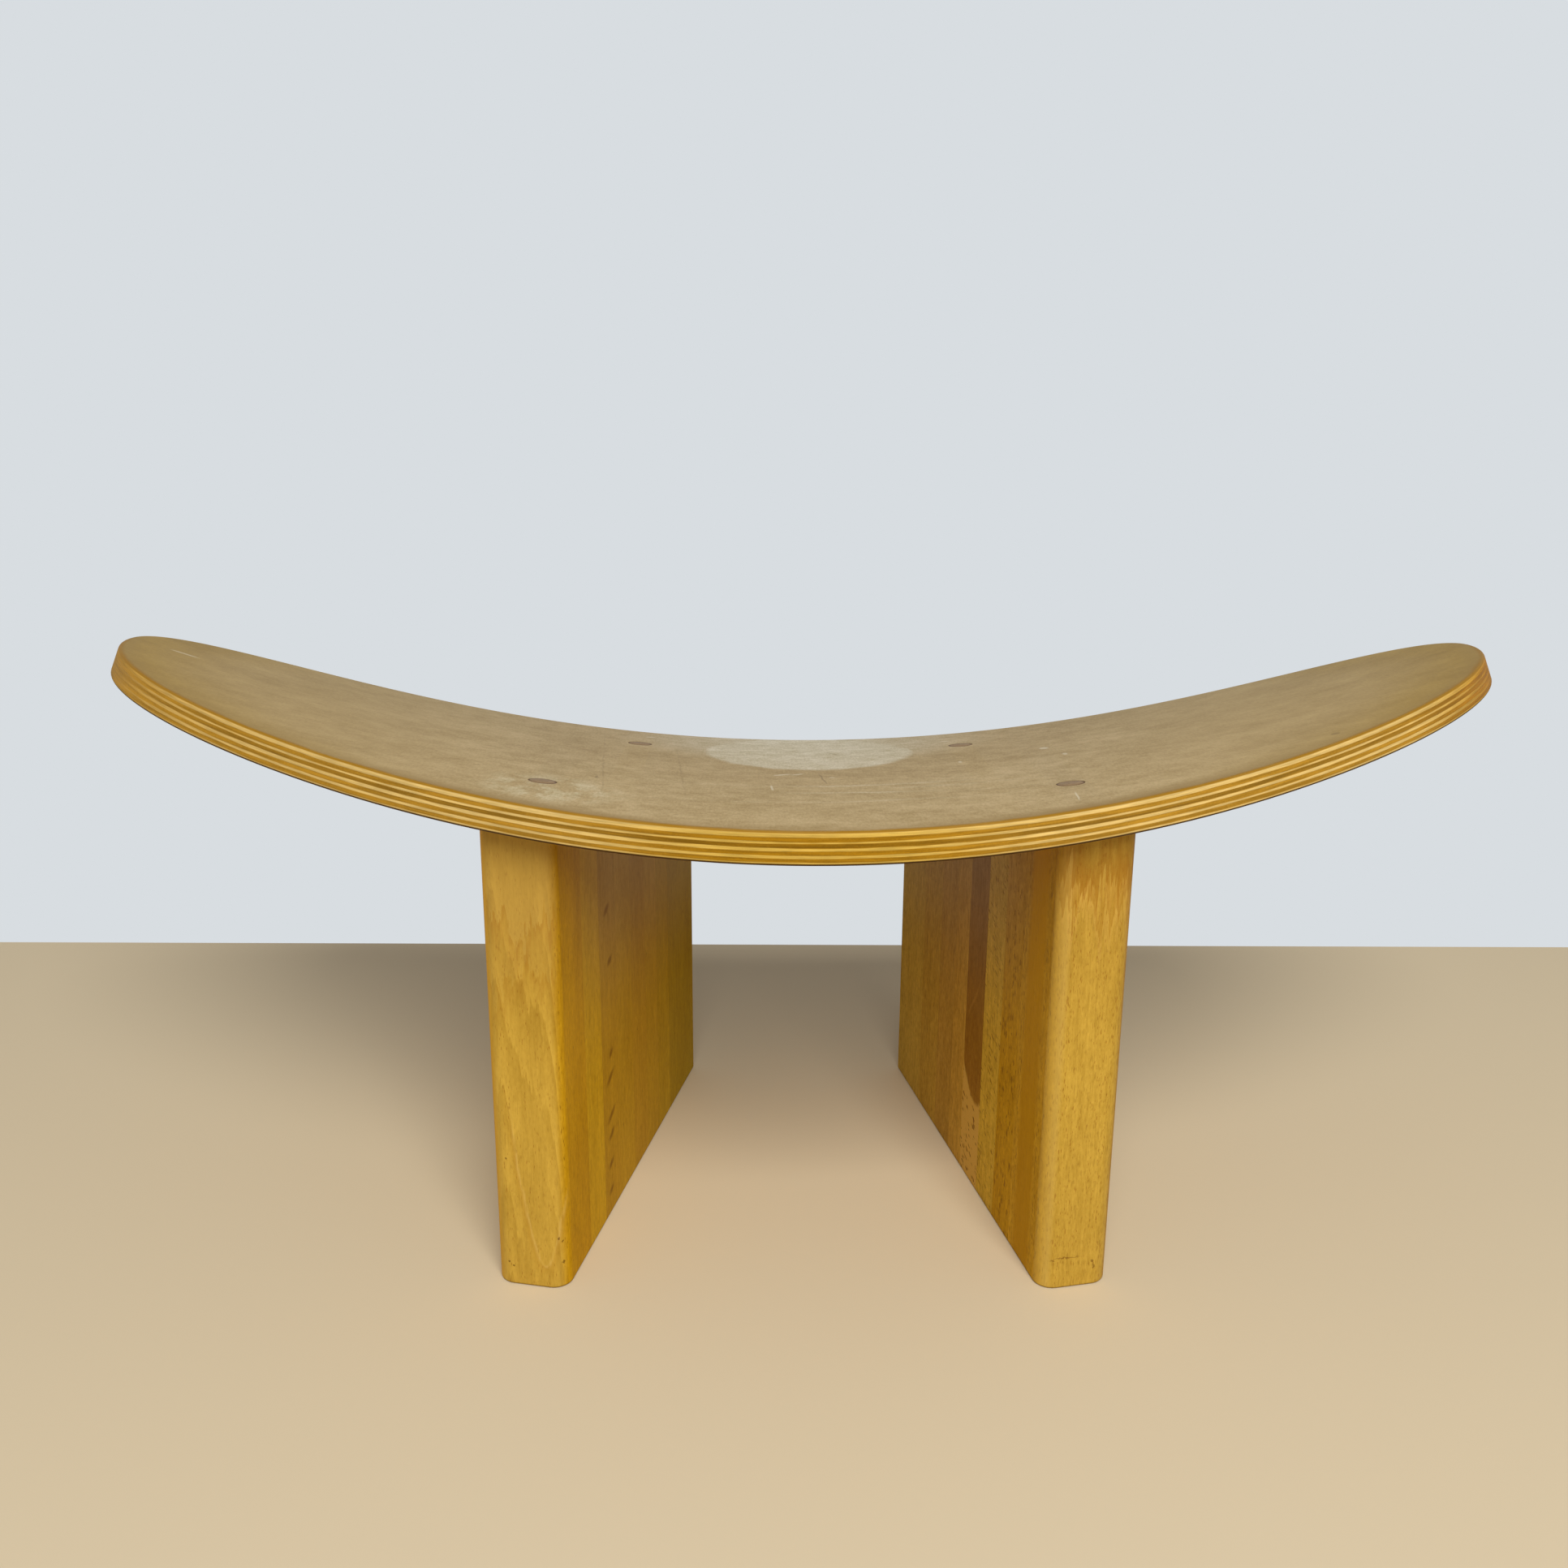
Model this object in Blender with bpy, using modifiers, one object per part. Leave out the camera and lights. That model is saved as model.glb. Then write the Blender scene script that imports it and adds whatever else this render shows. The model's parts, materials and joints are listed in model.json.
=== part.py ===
"""A meditation stool: a seat pressed from nine plies on two legs glued up from upright staves.

The stool stands on the floor at z = 0, its length along X and its front, the higher edge of
the seat, towards -Y. Each leg stands upright and turns in towards the rear. Four screws run
down through the seat into the legs, and a wooden plug closes the hole over each of them.
"""

import math

import bmesh
import bpy
from mathutils import Matrix, Vector

# Driving sizes of the seat, in metres
seat_length = 0.558  # over the bent top face, tip to tip
seat_depth = 0.222  # front edge to rear edge, at the middle of the length
tip_setback = 0.149  # from the front edge back to the tips
bend_radius = 0.750  # of the top face
seat_height = 0.176  # of the top face at the middle of the seat
seat_tilt = math.radians(7.4)  # the rear edge is the lower one
front_slack_share = 0.08  # by which the front edge is leaner than an ellipse
rear_fullness = 5.0  # 2 is an ellipse, and more is a straighter edge with fuller corners

# Driving sizes of the plies
ply_count = 9
ply_thickness = 0.0012
glue_line = 0.0001  # between plies, and between staves
edge_round = 0.001  # on the upper and lower rim of the seat
edge_land = 0.0002  # straight edge that a ply keeps beside the round

# Driving sizes of the legs
leg_spacing = 0.165  # between the middles of the two legs
front_overhang = 0.0314  # by which the seat reaches past the front end of a leg
rear_overhang = 0.0068  # by which the seat reaches past the rear end of a leg
leg_thickness = 0.028
leg_toe_in = math.radians(12)
leg_edge_radius = 0.007
seat_gap = 0.0003  # between a leg's top and the seat

# Widths of the staves of each leg, front to rear, as shares of the leg's depth
left_stave_shares = (0.156, 0.104, 0.110, 0.108, 0.107, 0.094, 0.097, 0.224)
right_stave_shares = (0.183, 0.099, 0.105, 0.113, 0.084, 0.108, 0.127, 0.181)

# Driving sizes of the plugs and screws
plug_inset = 0.032  # from each end of a leg
plug_diameter = 0.010
plug_length = 0.005
plug_clearance = 0.0002
screw_length = 0.060
screw_diameter = 0.005
screw_head_diameter = 0.0095
screw_head_rim = 0.0005
screw_tip_length = 0.006
screw_clearance = 0.0003
cut_overrun = 0.004  # by which a cutter reaches past the wood that it cuts

# Fineness of the faceted shapes
seat_steps = 48
round_steps = 24
leg_round_steps = 5
rim_round_steps = 2
weld_distance = 0.00001

# Sizes worked out from the driving ones
half_length = seat_length / 2
tip_level = tip_setback - seat_depth / 2
ply_pitch = ply_thickness + glue_line
seat_thickness = ply_count * ply_pitch - glue_line
seat_middle = Vector((0, seat_thickness * math.sin(seat_tilt) / 2, seat_height))
seat_frame = Matrix.Translation(seat_middle) @ Matrix.Rotation(-seat_tilt, 4, "X")
seat_shadow = seat_depth * math.cos(seat_tilt)  # depth of the seat as seen from above
leg_depth = (seat_shadow - front_overhang - rear_overhang) / math.cos(leg_toe_in)
leg_setback = seat_middle.y + (front_overhang - rear_overhang) / 2
plug_radius = plug_diameter / 2
screw_radius = screw_diameter / 2
screw_head_radius = screw_head_diameter / 2
screw_reach = leg_depth / 2 - plug_inset

# Colours as eight-bit screen values
top_veneer_colour = (176, 150, 108)
light_ply_colour = (214, 172, 92)
dark_ply_colour = (168, 118, 44)
golden_stave_colour = (196, 150, 64)
brown_stave_colour = (168, 116, 52)
walnut_stave_colour = (132, 86, 46)
plug_colour = (156, 118, 88)
screw_colour = (176, 170, 158)


def clear_scene():
    """Remove whatever the scene holds."""
    for item in list(bpy.data.objects):
        bpy.data.objects.remove(item, do_unlink=True)


def new_collection(name, parent):
    """Add a collection inside another one."""
    collection = bpy.data.collections.new(name)
    parent.children.link(collection)
    return collection


def linear(byte):
    """Turn an eight-bit screen value into the linear value that a shader takes."""
    value = byte / 255
    if value <= 0.04045:
        return value / 12.92
    return ((value + 0.055) / 1.055) ** 2.4


def make_material(name, colour, roughness, metallic=0.0):
    """A plain Principled material in a screen colour."""
    material = bpy.data.materials.new(name)
    material.use_nodes = True
    shader = material.node_tree.nodes["Principled BSDF"]
    shader.inputs["Base Color"].default_value = (*[linear(byte) for byte in colour], 1.0)
    shader.inputs["Roughness"].default_value = roughness
    shader.inputs["Metallic"].default_value = metallic
    return material


def add_empty(name, frame, collection):
    """An empty that carries the pieces of one assembly."""
    empty = bpy.data.objects.new(name, None)
    empty.empty_display_size = plug_diameter
    empty.matrix_world = frame
    collection.objects.link(empty)
    return empty


def add_object(name, bm, collection, parent=None, location=(0, 0, 0)):
    """Turn a finished bmesh into a named object."""
    mesh = bpy.data.meshes.new(name)
    bm.to_mesh(mesh)
    bm.free()
    item = bpy.data.objects.new(name, mesh)
    item.parent = parent
    item.location = location
    collection.objects.link(item)
    return item


def mark_as_cutter(item):
    """Keep a cutter out of the finished model."""
    item.hide_render = True
    item.display_type = "WIRE"


def cut_with(item, cutters):
    """Cut every solid of a collection out of an object."""
    cut = item.modifiers.new("holes", "BOOLEAN")
    cut.operation = "DIFFERENCE"
    cut.operand_type = "COLLECTION"
    cut.collection = cutters
    cut.solver = "EXACT"


def blank_edges(along):
    """Front and rear edge of the flat seat blank at a place along its length."""
    reach = min(abs(along) / half_length, 1)
    slack = front_slack_share * 4 * reach**2 * (1 - reach**2)
    front = tip_level - tip_setback * math.sqrt(1 - reach**2) * (1 - slack)
    rear_bow = seat_depth - tip_setback
    rear = tip_level + rear_bow * math.sqrt(1 - reach**rear_fullness)
    return front, rear


def pressed(along, across, depth):
    """Carry a point of the flat blank to its place in the bent seat."""
    angle = along / bend_radius
    radius = bend_radius + depth
    return Vector((radius * math.sin(angle), across, bend_radius - radius * math.cos(angle)))


def seat_level(place, depth):
    """Height of one level of the seat over a place on the floor."""
    radius = bend_radius + depth
    rise = bend_radius - math.sqrt(radius**2 - place.x**2)
    across = (place.y - seat_middle.y - rise * math.sin(seat_tilt)) / math.cos(seat_tilt)
    return seat_middle.z - across * math.sin(seat_tilt) + rise * math.cos(seat_tilt)


def rim_edges(bm, level):
    """The sharp outline edges of a flat ply that lie at one level."""
    found = []
    for edge in bm.edges:
        at_level = all(abs(vertex.co.z - level) < weld_distance for vertex in edge.verts)
        if at_level and edge.calc_face_angle() > math.radians(45):
            found.append(edge)
    return found


def make_ply(number, seat, cutters, collection):
    """One ply: a flat plate in the blank's outline, eased at the rim, bent and bored."""
    upper = -(number - 1) * ply_pitch
    lower = upper - ply_thickness
    bm = bmesh.new()
    bmesh.ops.create_grid(bm, x_segments=seat_steps, y_segments=1, size=1)
    for vertex in bm.verts:
        along = half_length * math.sin(vertex.co.x * math.pi / 2)
        front, rear = blank_edges(along)
        across = rear if vertex.co.y > 0 else front
        vertex.co = (along, across, upper)
    bmesh.ops.remove_doubles(bm, verts=bm.verts, dist=weld_distance)
    plate = bmesh.ops.extrude_face_region(bm, geom=bm.faces[:])
    for item in plate["geom"]:
        if isinstance(item, bmesh.types.BMVert):
            item.co.z = lower
    bmesh.ops.recalc_face_normals(bm, faces=bm.faces)
    rims = []
    if number == 1:
        rims = rim_edges(bm, upper)
    if number == ply_count:
        rims = rim_edges(bm, lower)
    if rims:
        radius = min(edge_round, ply_thickness - edge_land)
        bmesh.ops.bevel(bm, geom=rims, offset=radius, segments=rim_round_steps, profile=0.5,
                        affect="EDGES")
    for vertex in bm.verts:
        vertex.co = pressed(vertex.co.x, vertex.co.y, -vertex.co.z)
    ply = add_object(f"seat_ply_{number}", bm, collection, seat)
    ply.data.shade_smooth()
    ply.data.set_sharp_from_angle(angle=math.radians(30))
    cut_with(ply, cutters)
    return ply


def ply_material(number):
    """The top veneer is greyer, and below it light and dark plies take turns."""
    name = f"seat_ply_{number}_wood"
    if number == 1:
        return make_material(name, top_veneer_colour, 0.55)
    if number % 2 == 0:
        return make_material(name, dark_ply_colour, 0.5)
    return make_material(name, light_ply_colour, 0.45)


def make_seat(cutters, collection):
    """The seat's nine plies, numbered from the top."""
    seat = add_empty("seat", seat_frame, collection)
    for number in range(1, ply_count + 1):
        ply = make_ply(number, seat, cutters, collection)
        ply.data.materials.append(ply_material(number))


def leg_frame(side):
    """Place of a leg: side is 1 for the right leg and -1 for the left one."""
    middle = Vector((side * leg_spacing / 2, leg_setback, 0))
    return Matrix.Translation(middle) @ Matrix.Rotation(side * leg_toe_in, 4, "Z")


def make_stave(name, frame, leg, front, rear, round_ends, collection):
    """One upright stave from front to rear, rounded where it ends the leg."""
    middle = (front + rear) / 2
    width = rear - front
    bm = bmesh.new()
    bmesh.ops.create_cube(bm, size=1)
    for vertex in bm.verts:
        vertex.co.x *= leg_thickness
        vertex.co.y = middle + vertex.co.y * width
        vertex.co.z = seat_height if vertex.co.z > 0 else 0
    corners = []
    for edge in bm.edges:
        start, end = (vertex.co for vertex in edge.verts)
        upright = abs(start.z - end.z) > weld_distance
        if upright and any(abs(start.y - place) < weld_distance for place in round_ends):
            corners.append(edge)
    if corners:
        radius = min(leg_edge_radius, leg_thickness / 2 - edge_land, width - edge_land)
        bmesh.ops.bevel(bm, geom=corners, offset=radius, segments=leg_round_steps,
                        profile=0.5, affect="EDGES")
    for vertex in bm.verts:
        if vertex.co.z > 0:
            vertex.co.z = seat_level(frame @ vertex.co, seat_thickness) - seat_gap
    stave = add_object(name, bm, collection, leg)
    stave.data.shade_smooth()
    stave.data.set_sharp_from_angle(angle=math.radians(30))
    return stave


def stave_material(name, leg_name, number):
    """Most staves are golden, and some are brown or as dark as walnut."""
    tones = {
        ("leg_right", 4): walnut_stave_colour,
        ("leg_right", 6): brown_stave_colour,
        ("leg_right", 8): brown_stave_colour,
        ("leg_left", 3): brown_stave_colour,
        ("leg_left", 5): brown_stave_colour,
        ("leg_left", 8): brown_stave_colour,
    }
    colour = tones.get((leg_name, number), golden_stave_colour)
    return make_material(f"{name}_wood", colour, 0.4)


def make_plug(name, frame, leg, place, collection):
    """A plug that ends flush with the seat's top face."""
    bm = bmesh.new()
    bmesh.ops.create_cone(bm, cap_ends=True, segments=round_steps, radius1=plug_radius,
                          radius2=plug_radius, depth=plug_length)
    for vertex in bm.verts:
        if vertex.co.z > 0:
            vertex.co.z = seat_level(frame @ (place + vertex.co), 0) - place.z
        else:
            vertex.co.z = -plug_length
    plug = add_object(name, bm, collection, leg, place)
    plug.data.shade_smooth()
    plug.data.set_sharp_from_angle(angle=math.radians(30))
    plug.data.materials.append(make_material(f"{name}_wood", plug_colour, 0.5))


def turned(name, profile, collection, leg, place):
    """A solid turned about its upright axis from a profile that runs from top to bottom."""
    bm = bmesh.new()
    points = [bm.verts.new((radius, 0, height)) for radius, height in profile]
    for upper, lower in zip(points, points[1:]):
        bm.edges.new((upper, lower))
    item = add_object(name, bm, collection, leg, place)
    turn = item.modifiers.new("turn", "SCREW")
    turn.steps = round_steps
    turn.render_steps = round_steps
    turn.use_merge_vertices = True
    turn.merge_threshold = weld_distance
    turn.use_smooth_shade = False
    return item


def screw_profile():
    """Half outline of the countersunk screw, measured down from the seat's top face."""
    head_top = -plug_length - screw_clearance
    cone_top = head_top - screw_head_rim
    cone_bottom = cone_top - (screw_head_radius - screw_radius)
    tip = head_top - screw_length
    return [
        (0, head_top),
        (screw_head_radius, head_top),
        (screw_head_radius, cone_top),
        (screw_radius, cone_bottom),
        (screw_radius, tip + screw_tip_length),
        (0, tip),
    ]


def seat_hole_profile():
    """Half outline of the hole in the seat: plug hole, countersink and screw hole."""
    hole_radius = plug_radius + plug_clearance
    narrow_radius = screw_radius + screw_clearance
    cone_top = -plug_length - screw_clearance - screw_head_rim
    below_seat = -2 * seat_thickness - cut_overrun
    return [
        (0, seat_thickness),
        (hole_radius, seat_thickness),
        (hole_radius, cone_top),
        (narrow_radius, cone_top - (hole_radius - narrow_radius)),
        (narrow_radius, below_seat),
        (0, below_seat),
    ]


def leg_hole_profile():
    """Half outline of the pilot hole in the leg."""
    hole_radius = screw_radius + screw_clearance
    hole_bottom = -plug_length - screw_clearance - screw_length - screw_clearance
    return [
        (0, seat_thickness),
        (hole_radius, seat_thickness),
        (hole_radius, hole_bottom + screw_tip_length),
        (0, hole_bottom),
    ]


def make_fixings(leg_name, frame, leg, seat_cutters, leg_cutters, collection):
    """The leg's two screws and plugs, with the cutters for their holes."""
    side = leg_name.removeprefix("leg_")
    for end, along in (("front", -screw_reach), ("rear", screw_reach)):
        place = Vector((0, along, 0))
        place.z = seat_level(frame @ place, 0)
        make_plug(f"plug_{side}_{end}", frame, leg, place, collection)
        screw = turned(f"screw_{side}_{end}", screw_profile(), collection, leg, place)
        steel = make_material(f"screw_{side}_{end}_steel", screw_colour, 0.35, 1.0)
        screw.data.materials.append(steel)
        seat_hole = turned(f"seat_hole_{side}_{end}", seat_hole_profile(), seat_cutters, leg,
                           place)
        leg_hole = turned(f"leg_hole_{side}_{end}", leg_hole_profile(), leg_cutters, leg, place)
        mark_as_cutter(seat_hole)
        mark_as_cutter(leg_hole)


def make_leg(leg_name, side, stave_shares, seat_cutters, cutters, collection):
    """One leg: its staves side by side, and the fixings that hold the seat on it."""
    frame = leg_frame(side)
    leg = add_empty(leg_name, frame, collection)
    leg_cutters = new_collection(f"{leg_name}_cutters", cutters)
    make_fixings(leg_name, frame, leg, seat_cutters, leg_cutters, collection)
    ends = (-leg_depth / 2, leg_depth / 2)
    place = ends[0]
    for number, share in enumerate(stave_shares, start=1):
        width = leg_depth * share / sum(stave_shares)
        front = place if number == 1 else place + glue_line / 2
        place += width
        rear = ends[1] if number == len(stave_shares) else place - glue_line / 2
        name = f"{leg_name}_stave_{number}"
        stave = make_stave(name, frame, leg, front, rear, ends, collection)
        stave.data.materials.append(stave_material(name, leg_name, number))
        hole = screw_radius + screw_clearance
        if any(front - hole < spot < rear + hole for spot in (-screw_reach, screw_reach)):
            cut_with(stave, leg_cutters)


def main():
    clear_scene()
    root = bpy.context.scene.collection
    stool = new_collection("meditation_stool", root)
    cutters = new_collection("cutters", root)
    seat_cutters = new_collection("seat_cutters", cutters)
    make_leg("leg_left", -1, left_stave_shares, seat_cutters, cutters, stool)
    make_leg("leg_right", 1, right_stave_shares, seat_cutters, cutters, stool)
    make_seat(seat_cutters, stool)
    bpy.context.view_layer.update()
    print("seat thickness", round(seat_thickness, 6), "pieces", len(stool.objects))


main()
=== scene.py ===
# %% [markdown]
# # A low kneeling stool of bent plywood and beech
# The part comes from its CAD model as 33 solids in metres: nine plies, two legs of eight
# glued staves, four wooden plugs and four screws. This lesson gives it the looks of the real
# stool. The wooden pieces are made again with finer curves and eased edges, each in the place
# of its solid, and every piece gets a material made from nodes, with no picture in it.

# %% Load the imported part
import json
import math

import bmesh
import bpy
from mathutils import Matrix, Vector

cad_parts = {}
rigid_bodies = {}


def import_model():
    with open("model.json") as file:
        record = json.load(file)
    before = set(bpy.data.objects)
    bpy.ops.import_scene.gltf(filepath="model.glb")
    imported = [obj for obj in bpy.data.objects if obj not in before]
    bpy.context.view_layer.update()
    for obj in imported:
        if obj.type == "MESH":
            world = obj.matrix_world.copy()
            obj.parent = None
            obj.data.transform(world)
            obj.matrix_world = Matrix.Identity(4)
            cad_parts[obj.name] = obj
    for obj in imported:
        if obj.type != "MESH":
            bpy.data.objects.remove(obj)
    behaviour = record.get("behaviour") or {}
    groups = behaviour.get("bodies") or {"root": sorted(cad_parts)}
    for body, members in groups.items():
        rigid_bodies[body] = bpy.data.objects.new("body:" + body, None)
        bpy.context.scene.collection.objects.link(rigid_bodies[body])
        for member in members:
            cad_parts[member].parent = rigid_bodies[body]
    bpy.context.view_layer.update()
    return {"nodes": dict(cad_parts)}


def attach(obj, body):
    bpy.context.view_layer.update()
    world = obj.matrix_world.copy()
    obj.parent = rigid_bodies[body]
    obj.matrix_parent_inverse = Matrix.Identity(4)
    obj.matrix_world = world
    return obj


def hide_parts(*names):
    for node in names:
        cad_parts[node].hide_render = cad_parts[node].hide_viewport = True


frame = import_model()
nodes = frame["nodes"]

# %% [markdown]
# ## The seat as a flat blank
# A pressed seat starts as a stack of flat veneers. The stack is bent in a heated press and its
# outline is cut afterwards: nearly straight at the rear, a long bow at the front. It could be
# modelled bent from the start, but it is easier to draw the outline flat and to bend it last,
# and the flat place of every point can then carry the grain along the bend.

# %% Sizes of the seat, as in the CAD model
seat_length = 0.558
seat_depth = 0.222
tip_setback = 0.149
bend_radius = 0.750
seat_height = 0.176
seat_tilt = math.radians(7.4)
front_slack_share = 0.08
rear_fullness = 5.0
seat_thickness = 0.0116
half_length = seat_length / 2
tip_level = tip_setback - seat_depth / 2
seat_middle = Vector((0, seat_thickness * math.sin(seat_tilt) / 2, seat_height))
seat_frame = Matrix.Translation(seat_middle) @ Matrix.Rotation(-seat_tilt, 4, "X")
print("half length", half_length, "tips at", round(tip_level, 4))


# %% Outline of the blank
def blank_edges(along):
    """Front and rear edge of the flat blank at a place along its length."""
    reach = min(abs(along) / half_length, 1)
    slack = front_slack_share * 4 * reach**2 * (1 - reach**2)
    front = tip_level - tip_setback * math.sqrt(1 - reach**2) * (1 - slack)
    rear_bow = seat_depth - tip_setback
    rear = tip_level + rear_bow * math.sqrt(1 - reach**rear_fullness)
    return front, rear


print("edges at the middle", [round(edge, 4) for edge in blank_edges(0)])

# %% [markdown]
# ## The bend
# The press is part of a cylinder that lies across the seat, so a point of the blank keeps its
# place from front to rear and only its length is rolled up. The same rule read backwards tells
# where a point of the bent seat lay on the blank. The top of each leg needs the height of the
# seat's underside, which a third rule gives.


# %% Rules of the bend
def pressed(place):
    """Carry a point of the blank (along, across, height) into the bent seat."""
    angle = place.x / bend_radius
    radius = bend_radius - place.z
    return Vector((radius * math.sin(angle), place.y, bend_radius - radius * math.cos(angle)))


def flattened(place):
    """Place on the blank (along, across, depth) of a point of the bent seat."""
    angle = math.atan2(place.x, bend_radius - place.z)
    depth = math.hypot(place.x, bend_radius - place.z) - bend_radius
    return Vector((bend_radius * angle, place.y, depth))


def seat_level(place, depth):
    """Height of one level of the seat over a place on the floor."""
    radius = bend_radius + depth
    rise = bend_radius - math.sqrt(radius**2 - place.x**2)
    across = (place.y - seat_middle.y - rise * math.sin(seat_tilt)) / math.cos(seat_tilt)
    return seat_middle.z - across * math.sin(seat_tilt) + rise * math.cos(seat_tilt)


print("tip of the seat at", [round(value, 4) for value in
                             seat_frame @ pressed(Vector((half_length, tip_level, 0)))])

# %% [markdown]
# ## Where the legs stand
# Each leg is a board on its end, turned in towards the rear. It gets a frame of its own: x
# through the board, y from its front end to its rear end, z up. The staves, the plugs and the
# grain of the wood are all laid out in that frame.

# %% Frames of the legs
leg_spacing = 0.165
front_overhang = 0.0314
rear_overhang = 0.0068
leg_thickness = 0.028
leg_toe_in = math.radians(12)
leg_depth = ((seat_depth * math.cos(seat_tilt) - front_overhang - rear_overhang)
             / math.cos(leg_toe_in))
leg_setback = seat_middle.y + (front_overhang - rear_overhang) / 2


def leg_frame(side):
    """Place of a leg: side is 1 for the right leg and -1 for the left one."""
    middle = Vector((side * leg_spacing / 2, leg_setback, 0))
    return Matrix.Translation(middle) @ Matrix.Rotation(side * leg_toe_in, 4, "Z")


legs = {"left": leg_frame(-1), "right": leg_frame(1)}
print("a leg is", round(leg_depth, 4), "deep")

# %% [markdown]
# ## From a bmesh to a finished piece
# A finished piece is an object at the origin with its place in its mesh. It hides the solid that
# it stands in for, rides on the part's one body, and gets its finish.
# Smooth shading with sharp edges kept over 30 degrees suits sawn and sanded wood.

# %% Finish a piece
weld = 0.00001


def new_piece(name, bm, place):
    """Make an object from a bmesh, carried to its place."""
    bmesh.ops.transform(bm, matrix=place, verts=bm.verts)
    mesh = bpy.data.meshes.new(name)
    bm.to_mesh(mesh)
    bm.free()
    piece = bpy.data.objects.new(name, mesh)
    bpy.context.scene.collection.objects.link(piece)
    return piece


def ease(bm, edges, width, steps):
    """Round edges over by a width, in so many steps."""
    bmesh.ops.bevel(bm, geom=edges, offset=width, segments=steps, profile=0.5, affect="EDGES",
                    material=-1)


def stand_in(piece, node, finish):
    """Let a piece take the place of a CAD solid, in its finish."""
    piece.data.shade_smooth()
    piece.data.set_sharp_from_angle(angle=math.radians(30))
    piece.data.materials.clear()
    piece.data.materials.append(finish)
    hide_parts(node)
    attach(piece, "root")


# %% [markdown]
# ## Drills
# The plugs sit in holes, and the screws go on down through the seat into the legs. A drill is
# a solid turned from half of its outline: a few points, spun once round the upright axis. The
# drills are taken away from the wood with a Boolean modifier, which is then made plain mesh.

# %% Turn a drill
plug_inset = 0.032
plug_radius = 0.005
plug_length = 0.005
plug_gap = 0.0002
plug_ease = 0.00025
screw_radius = 0.0025
screw_gap = 0.0003
plug_play = 0.0008
screw_depth = 0.066
screw_reach = leg_depth / 2 - plug_inset


def turned(outline, steps=48):
    """A closed solid spun from points (radius, height) that run from top to bottom."""
    bm = bmesh.new()
    points = [bm.verts.new((radius, 0, height)) for radius, height in outline]
    lines = [bm.edges.new(pair) for pair in zip(points, points[1:])]
    bmesh.ops.spin(bm, geom=points + lines, cent=(0, 0, 0), axis=(0, 0, 1),
                   angle=2 * math.pi, steps=steps, use_merge=True, use_duplicate=False)
    bmesh.ops.remove_doubles(bm, verts=bm.verts, dist=weld)
    bmesh.ops.recalc_face_normals(bm, faces=bm.faces)
    return bm


def drill_outline(wide, wide_end, narrow, narrow_end):
    """Half outline of a drill with a wide part, a cone and a narrow part."""
    return [(0, 0.01), (wide, 0.01), (wide, wide_end), (narrow, wide_end - (wide - narrow)),
            (narrow, narrow_end), (0, narrow_end)]


# %% Set the drills
drills = bpy.data.collections.new("drills")
bpy.context.scene.collection.children.link(drills)
plug_places = {}
for leg, leg_place in legs.items():
    for end, along in (("front", -screw_reach), ("rear", screw_reach)):
        foot = Vector((0, along, 0))
        foot.z = seat_level(leg_place @ foot, 0)
        plug_places[leg, end] = leg_place @ Matrix.Translation(foot)
        outline = drill_outline(plug_radius + plug_gap, -plug_length - plug_play,
                                screw_radius + screw_gap, -screw_depth)
        drill = new_piece(f"drill_{leg}_{end}", turned(outline), plug_places[leg, end])
        bpy.context.scene.collection.objects.unlink(drill)
        drills.objects.link(drill)


# %% Bore a piece
def bore(piece):
    """Take the drills away from a piece and keep the result as plain mesh."""
    cut = piece.modifiers.new("holes", "BOOLEAN")
    cut.operation = "DIFFERENCE"
    cut.operand_type = "COLLECTION"
    cut.collection = drills
    cut.solver = "EXACT"
    graph = bpy.context.evaluated_depsgraph_get()
    bored = bpy.data.meshes.new_from_object(piece.evaluated_get(graph))
    piece.modifiers.clear()
    bm = bmesh.new()
    bm.from_mesh(bored)
    bmesh.ops.remove_doubles(bm, verts=bm.verts, dist=weld / 5)
    bmesh.ops.dissolve_degenerate(bm, edges=bm.edges, dist=weld / 5)
    bm.to_mesh(bored)
    bm.free()
    piece.data = bored


# %% [markdown]
# ## Cutting a ply
# A ply starts as a disc of many sides, pulled to the outline of the blank. It is made thick by
# extruding it, and the rim of the top and the bottom ply is eased with a small bevel, as the
# sander leaves it. Saw cuts across it give the flat faces edges to bend at. The ply goes
# through the press last.

# %% Cut and press one ply
outline_steps = 240
saw_cuts = 110
rim_ease = 0.00134


def rim_edges(bm, level):
    """The sharp outline edges at one level of a flat ply."""
    return [edge for edge in bm.edges
            if all(abs(vertex.co.z - level) < weld for vertex in edge.verts)
            and edge.calc_face_angle(0) > math.radians(45)]


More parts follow.
